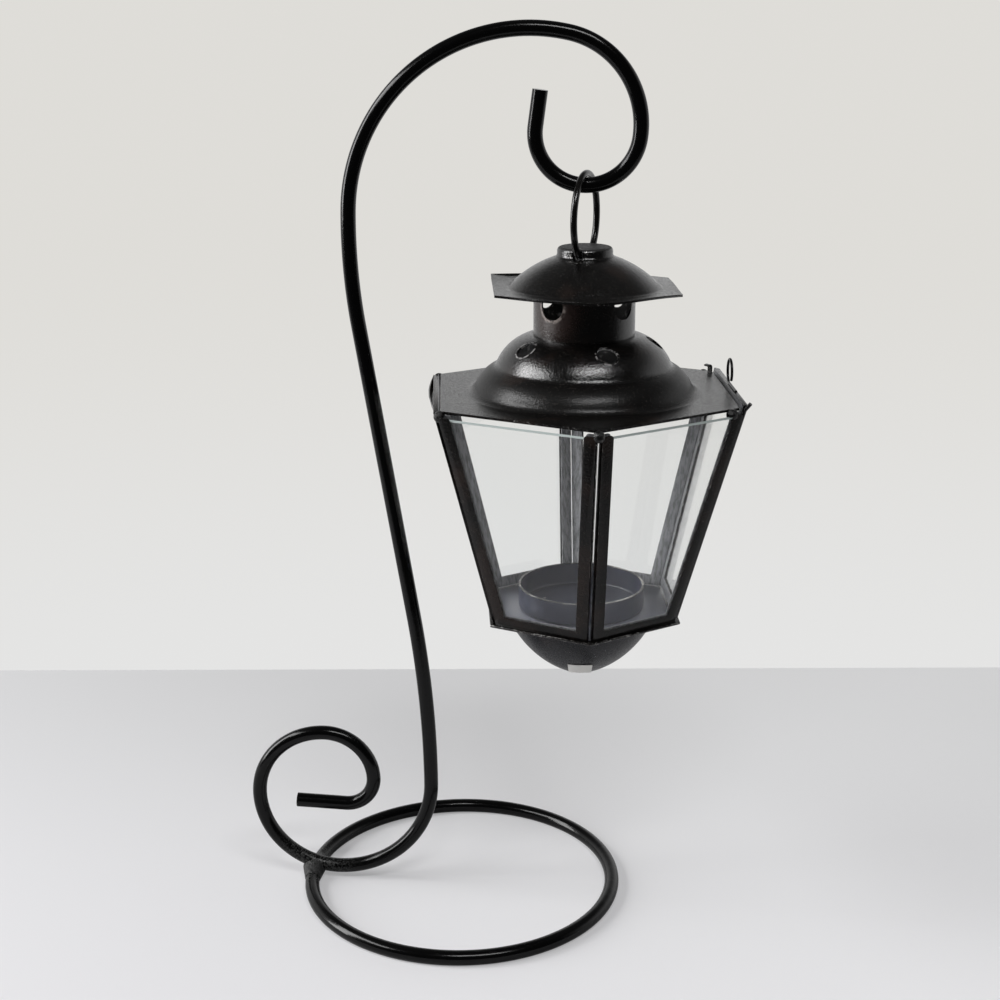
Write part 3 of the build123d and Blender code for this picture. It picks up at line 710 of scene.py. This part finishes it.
class Route:
    """A line that runs straight and bends in one plane, as a rod does over a former."""

    STEP = radians(2.0)
    CHORD = 0.002

    def __init__(self, place, heading):
        self.points = [place]
        self.heading = heading

    def straight(self, run):
        """Go straight on."""
        x, z = self.points[-1]
        self.points.append((x + run * cos(self.heading), z + run * sin(self.heading)))
        return self

    def bend(self, radius, turn):
        """Turn through an angle, positive to the left."""
        side = 1.0 if turn > 0 else -1.0
        x, z = self.points[-1]
        middle = (x - side * radius * sin(self.heading), z + side * radius * cos(self.heading))
        steps = max(2, round(abs(turn) / self.STEP), round(abs(turn) * radius / self.CHORD))
        for index in range(1, steps + 1):
            way = self.heading + turn * index / steps
            self.points.append((middle[0] + side * radius * sin(way), middle[1] - side * radius * cos(way)))
        self.heading += turn
        return self


def path_object(name, points, closed=False):
    """A curve object through points."""
    curve = bpy.data.curves.new(name, "CURVE")
    curve.dimensions = "3D"
    spline = curve.splines.new("POLY")
    spline.points.add(len(points) - 1)
    for point, place in zip(spline.points, points):
        point.co = (*place, 1.0)
    spline.use_cyclic_u = closed
    return link(bpy.data.objects.new(name, curve))


def rounded_copy(node, name, rounding, paints):
    """A copy of a flat-sided solid with its edges rounded; the rounding takes the second paint."""
    mesh = NODES[node].data.copy()
    mesh.name = name
    shape = bmesh.new()
    shape.from_mesh(mesh)
    bmesh.ops.remove_doubles(shape, verts=shape.verts, dist=MERGE_DISTANCE)
    bmesh.ops.dissolve_limit(shape, angle_limit=radians(2.0), verts=shape.verts, edges=shape.edges)
    for face in shape.faces:
        face.material_index = 0
    shape.to_mesh(mesh)
    shape.free()
    mesh.materials.clear()
    for paint in paints:
        mesh.materials.append(paint)
    source = link(bpy.data.objects.new(name + "_source", mesh))
    bevel = source.modifiers.new("Rounding", "BEVEL")
    bevel.width = rounding
    bevel.segments = 2
    bevel.limit_method = "ANGLE"
    bevel.angle_limit = radians(40.0)
    bevel.material = len(paints) - 1
    piece = bake_modifiers(source, name)
    smooth(piece.data)
    return piece


def paint_mesh(mesh, finishes):
    """Give a mesh a finish, and a second one to faces that look down or to the lantern's axis."""
    mesh.materials.clear()
    for material in finishes:
        mesh.materials.append(material)
    for face in mesh.polygons:
        outwards = Vector((face.center.x - AXIS_X, face.center.y, 0.0)).normalized()
        inside = face.normal.dot(outwards + Vector((0.0, 0.0, 0.6))) < -0.1
        face.material_index = len(finishes) - 1 if inside else 0


def dress(nodes, *finishes):
    """Paint carried-over solids."""
    for node in nodes:
        paint_mesh(NODES[node].data, finishes)


def divide_brim(shape):
    """Split the long edges of the cap's flat brim, so that it can bend."""
    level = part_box("chimney")[1][2]
    for _ in range(BRIM_ROUNDS):
        brim = [face for face in shape.faces if abs(face.normal.z) > 0.99]
        brim = [face for face in brim if face.calc_center_median().z < level]
        long = {edge for face in brim for edge in face.edges if edge.calc_length() > BRIM_EDGE}
        bmesh.ops.subdivide_edges(shape, edges=list(long), cuts=1)
        bmesh.ops.triangulate(shape, faces=shape.faces)


def bent_cap(looks, finishes):
    """A copy of the cap whose brim is rippled and has one corner bent up, as thin sheet gets in use."""
    mesh = NODES["cap"].data.copy()
    shape = bmesh.new()
    shape.from_mesh(mesh)
    bmesh.ops.remove_doubles(shape, verts=shape.verts, dist=MERGE_DISTANCE)
    divide_brim(shape)
    back_corner = LANTERN_TURN + radians(150)
    for vertex in shape.verts:
        arm = Vector((vertex.co.x - AXIS_X, vertex.co.y))
        if arm.length < CAP_DOME_RADIUS:
            continue
        turn = atan2(arm.y, arm.x)
        flap = (arm.length - CAP_DOME_RADIUS) / (CAP_CORNER_RADIUS - CAP_DOME_RADIUS)
        near_back = max(0.0, cos(turn - back_corner)) ** 8
        left = max(0.0, cos(turn - back_corner - radians(30))) ** 3
        arm *= 1.0 + looks.brim_push * left * flap / arm.length
        lift = looks.brim_lift * near_back * flap ** 1.5 + looks.brim_ripple * flap * sin(7 * turn)
        vertex.co = (AXIS_X + arm.x, arm.y, vertex.co.z + lift)
    shape.to_mesh(mesh)
    shape.free()
    mesh.name = "cap_dressed"
    piece = link(bpy.data.objects.new("cap_dressed", mesh))
    paint_mesh(mesh, finishes)
    smooth(mesh)
    take_place(piece, "cap", "lantern")


class LANTERN_OT_stand(bpy.types.Operator):
    """Bend the stand's rod and base ring and paint them"""

    bl_idname = "lantern.stand"
    bl_label = "Rod stand"

    def execute(self, context):
        looks = context.scene.lantern_stand
        paint = rod_paint(looks)
        group = rod_group()
        values = {"Diameter": looks.rod_diameter, "Sides": looks.rod_sides, "Material": paint}
        foot = (looks.foot_x, looks.foot_clearance + looks.rod_diameter / 2)
        scroll = Route(foot, pi)
        scroll.bend(looks.scroll_lower_radius, -pi / 2).bend(looks.scroll_upper_radius, -pi / 2)
        scroll.bend(looks.scroll_inner_radius, -pi / 2).bend(looks.scroll_end_radius, -SCROLL_END_TURN)
        scroll.straight(looks.stub_length)
        rise = Route(foot, 0.0)
        rise.bend(looks.foot_radius, pi / 2).bend(looks.post_lower_radius, looks.post_lean)
        rise.straight(looks.post_length).bend(looks.post_upper_radius, -POST_UPPER_TURN)
        rise.bend(looks.arch_radius, -ARCH_TURN).bend(looks.crook_radius, -CROOK_TURN)
        rise.bend(looks.hook_radius, -HOOK_TURN).bend(looks.hook_end_radius, -HOOK_END_TURN)
        rise.straight(looks.tip_length)
        points = [(x, 0.0, z) for x, z in scroll.points[:0:-1] + rise.points]
        rod = grow(path_object("rod_path", points), group, values, "stand_rod_dressed")
        smooth(rod.data)
        take_place(rod, "stand_rod", "stand")
        self.base_ring(looks, group, values)
        dress(("weld_beads",), weld_paint(looks))
        return {"FINISHED"}

    def base_ring(self, looks, group, values):
        """The ring on the floor, open where the upright rod stands, with a flat under it."""
        gap = asin(looks.ring_gap / looks.ring_radius)
        level = looks.rod_diameter / 2 - looks.ring_flat
        points = []
        for index in range(RING_STEPS + 1):
            turn = pi + gap + (2 * pi - 2 * gap) * index / RING_STEPS
            points.append((looks.ring_radius * cos(turn), looks.ring_radius * sin(turn), level))
        ring = grow(path_object("base_ring_path", points), group, values, "base_ring_dressed")
        for vertex in ring.data.vertices:
            vertex.co.z = max(vertex.co.z, 0.0)
        smooth(ring.data)
        take_place(ring, "base_ring", "stand")


class LANTERN_OT_hanging_ring(bpy.types.Operator):
    """Bend the wire ring that hangs on the hook, and paint it and the door's wires"""

    bl_idname = "lantern.hanging_ring"
    bl_label = "Hanging ring and wires"

    def execute(self, context):
        looks = context.scene.lantern_body
        wire = wire_finish(looks)
        low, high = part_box("hanging_ring")
        middle = [(a + b) / 2 for a, b in zip(low, high)]
        along = (sin(looks.wire_ring_twist), cos(looks.wire_ring_twist))
        points = []
        for index in range(WIRE_STEPS):
            turn = 2 * pi * index / WIRE_STEPS
            reach = looks.wire_ring_radius * cos(turn)
            points.append(
                (
                    middle[0] + reach * along[0],
                    middle[1] + reach * along[1],
                    middle[2] + looks.wire_ring_radius * sin(turn),
                )
            )
        values = {"Diameter": looks.wire_diameter, "Sides": WIRE_SIDES, "Material": wire}
        ring = grow(path_object("ring_path", points, True), rod_group(), values, "hanging_ring_dressed")
        take_place(ring, "hanging_ring", "ring")
        dress(("door_pull", "hinge_pin"), wire)
        return {"FINISHED"}


class LANTERN_OT_sheet_metal(bpy.types.Operator):
    """Paint the cap, chimney, roof, base, bowl and cup"""

    bl_idname = "lantern.sheet_metal"
    bl_label = "Sheet metal"

    def execute(self, context):
        looks = context.scene.lantern_body
        bare = inner_metal(looks)
        bent_cap(looks, (cap_paint(looks), bare))
        dress(("roof",), roof_paint(looks), bare)
        dress(("chimney",), chimney_paint(looks), bare)
        dress(("roof_tab",), plain_paint("tab_paint", looks, 0.7).done())
        dress(("bowl",), bowl_paint(looks))
        dress(("candle_cup",), cup_paint(looks))
        paints = [plate_paint(looks), fold_paint(looks)]
        plate = rounded_copy("base_plate", "base_plate_dressed", looks.plate_rounding, paints)
        take_place(plate, "base_plate", "lantern")
        dress(("paper_label",), label_paper(looks))
        return {"FINISHED"}


class LANTERN_OT_frames(bpy.types.Operator):
    """Round the folded frames' edges and rub their paint"""

    bl_idname = "lantern.frames"
    bl_label = "Folded frames"

    def execute(self, context):
        looks = context.scene.lantern_body
        paints = [frame_paint(looks), fold_paint(looks)]
        for node in FRAME_NODES:
            piece = rounded_copy(node, f"{node}_dressed", looks.fold_rounding, paints)
            body = "door" if node == "door_frame" else "lantern"
            take_place(piece, node, body)
        return {"FINISHED"}


class LANTERN_OT_panes(bpy.types.Operator):
    """Glaze the frames"""

    bl_idname = "lantern.panes"
    bl_label = "Glass panes"

    def execute(self, context):
        looks = context.scene.lantern_body
        tops = {}
        for node in PANE_NODES:
            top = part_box(node)[1][2]
            key = round(top, 5)
            if key not in tops:
                tops[key] = pane_glass(f"pane_glass_{len(tops)}", looks, top)
            dress((node,), tops[key])
        return {"FINISHED"}


class LANTERN_OT_solder(bpy.types.Operator):
    """Paint the solder in the corners under the roof"""

    bl_idname = "lantern.solder"
    bl_label = "Solder"

    def execute(self, context):
        looks = context.scene.lantern_body
        dress(("solder_beads",), solder_finish(looks))
        return {"FINISHED"}


class LANTERN_OT_stage(bpy.types.Operator):
    """Lay the floor and set the background, lights and camera"""

    bl_idname = "lantern.stage"
    bl_label = "Stage"

    def execute(self, context):
        looks = context.scene.lantern_stage
        place = Vector(looks.camera_place)
        way = Vector(looks.camera_way).normalized()
        level = Vector((way.x, way.y, 0.0)).normalized()
        side = level.cross(Vector((0.0, 0.0, 1.0)))
        ground = Vector((place.x, place.y, 0.0))
        self.floor(looks, ground, level, side)
        self.lamp("window", (-1.18, -0.1, 0.47), 0.42, 0.75, looks.window_power)
        self.lamp("skylight", (-0.92, -0.2, 0.88), 0.9, 0.25, looks.skylight_power)
        self.lamp("front_lamp", (0.27, -0.71, 1.255), 0.7, 0.22, looks.front_power)
        context.scene.world = self.room(looks)
        self.camera(context, looks, place, way)
        context.scene.view_settings.view_transform = "Standard"
        return {"FINISHED"}

    def floor(self, looks, ground, level, side):
        """A wide plain sheet whose far edge is the line behind the object, with painted light: paler towards
        the viewer and towards the right.
        """
        mesh = bpy.data.meshes.new("floor")
        corners = []
        for along, across in ((0, -1), (0, 1), (1, 1), (1, -1)):
            reach = looks.floor_end if along else looks.floor_front
            corners.append(tuple(ground + level * reach + side * looks.floor_width / 2 * across))
        mesh.from_pydata(corners, [], [(0, 1, 2, 3)])
        finish = new_finish("floor_paint")
        # Painted light: paler floor colour towards the viewer.
        near = 1.0 - finish.ramp(finish.y, -0.12, 0.2)
        base = finish.blend(near, solid(looks.floor), solid(looks.floor_near_lit))
        # Painted light: the floor is painted paler towards the right, in place of a lamp on that side.
        base = finish.blend(0.17 * finish.ramp(finish.x, -0.1, 0.25), base, WHITE)
        matt = 1.0 - finish.ray("Glossy")
        glow = finish.blend(matt * looks.floor_glow, BLACK, base)
        sockets = {"Base Color": base, "Roughness": 0.85, "Emission Color": glow, "Emission Strength": 1.0}
        mesh.materials.append(finish.surface(sockets))
        link(bpy.data.objects.new("floor", mesh))

    def room(self, looks):
        """A pale wall for what looks at it, and the light of a room that is dark in front and overhead."""
        finish = Finish(bpy.data.worlds.new("room"), "Generated")
        low = 1.0 - finish.ramp(finish.z, -0.4, -0.12)
        wall = finish.blend(low, solid(looks.wall), solid(looks.wall_low))
        behind = finish.ramp(finish.y, -0.25, 0.35) * (1.0 - 0.92 * finish.ramp(finish.z, 0.3, 0.65))
        light = looks.room_front + (looks.room_back - looks.room_front) * behind
        room = finish.blend(light, BLACK, WHITE)
        colour_seen = finish.blend(finish.ray("Camera", "Transmission"), room, wall)
        shader = finish.node("ShaderNodeBackground", {}, {"Color": colour_seen})
        return finish.send(shader, "ShaderNodeOutputWorld")

    def lamp(self, name, place, width, height, power):
        """An oblong area lamp that points at the object."""
        data = bpy.data.lights.new(name, "AREA")
        data.shape = "RECTANGLE"
        data.size = width
        data.size_y = height
        data.energy = power
        lamp = link(bpy.data.objects.new(name, data))
        lamp.location = place
        lamp.rotation_euler = (Vector(LAMP_TARGET) - Vector(place)).to_track_quat("-Z", "Y").to_euler()

    def camera(self, context, looks, place, way):
        """The photograph's camera."""
        data = bpy.data.cameras.new("photo_camera")
        data.lens = looks.camera_lens
        data.sensor_width = 36.0
        data.sensor_fit = "HORIZONTAL"
        data.clip_start = 0.01
        camera = link(bpy.data.objects.new("photo_camera", data))
        right = way.cross(Vector((0.0, 0.0, 1.0))).normalized()
        up = right.cross(way)
        turned = right * cos(looks.camera_roll) + up * sin(looks.camera_roll)
        up = turned.cross(way)
        matrix = Matrix((turned, up, -way)).transposed().to_4x4()
        matrix.translation = place
        camera.matrix_world = matrix
        context.scene.camera = camera


class LANTERN_PT_panel(bpy.types.Panel):
    """Lists the steps that dress the lantern"""

    bl_idname = "LANTERN_PT_panel"
    bl_label = "Hanging lantern"
    bl_space_type = "VIEW_3D"
    bl_region_type = "UI"
    bl_category = "Lantern"

    def draw(self, context):
        column = self.layout.column()
        for step in STEPS:
            column.operator(step.bl_idname)
        for group in (context.scene.lantern_stand, context.scene.lantern_body, context.scene.lantern_stage):
            box = self.layout.box()
            for name in group.bl_rna.properties.keys():
                if name not in ("rna_type", "name"):
                    box.prop(group, name)


STEPS = (
    LANTERN_OT_stand,
    LANTERN_OT_hanging_ring,
    LANTERN_OT_sheet_metal,
    LANTERN_OT_frames,
    LANTERN_OT_panes,
    LANTERN_OT_solder,
    LANTERN_OT_stage,
)
CLASSES = (LanternStandLooks, LanternBodyLooks, LanternStageLooks) + STEPS + (LANTERN_PT_panel,)


def register():
    """Make the settings, steps and panel known to Blender."""
    for item in CLASSES:
        bpy.utils.register_class(item)
    bpy.types.Scene.lantern_stand = PointerProperty(type=LanternStandLooks)
    bpy.types.Scene.lantern_body = PointerProperty(type=LanternBodyLooks)
    bpy.types.Scene.lantern_stage = PointerProperty(type=LanternStageLooks)


def unregister():
    """Take them away again."""
    del bpy.types.Scene.lantern_stage
    del bpy.types.Scene.lantern_body
    del bpy.types.Scene.lantern_stand
    for item in reversed(CLASSES):
        bpy.utils.unregister_class(item)


def main():
    """Dress the lantern step by step."""
    register()
    bpy.ops.lantern.stand()
    bpy.ops.lantern.hanging_ring()
    bpy.ops.lantern.sheet_metal()
    bpy.ops.lantern.frames()
    bpy.ops.lantern.panes()
    bpy.ops.lantern.solder()
    bpy.ops.lantern.stage()


if __name__ == "__main__":
    main()
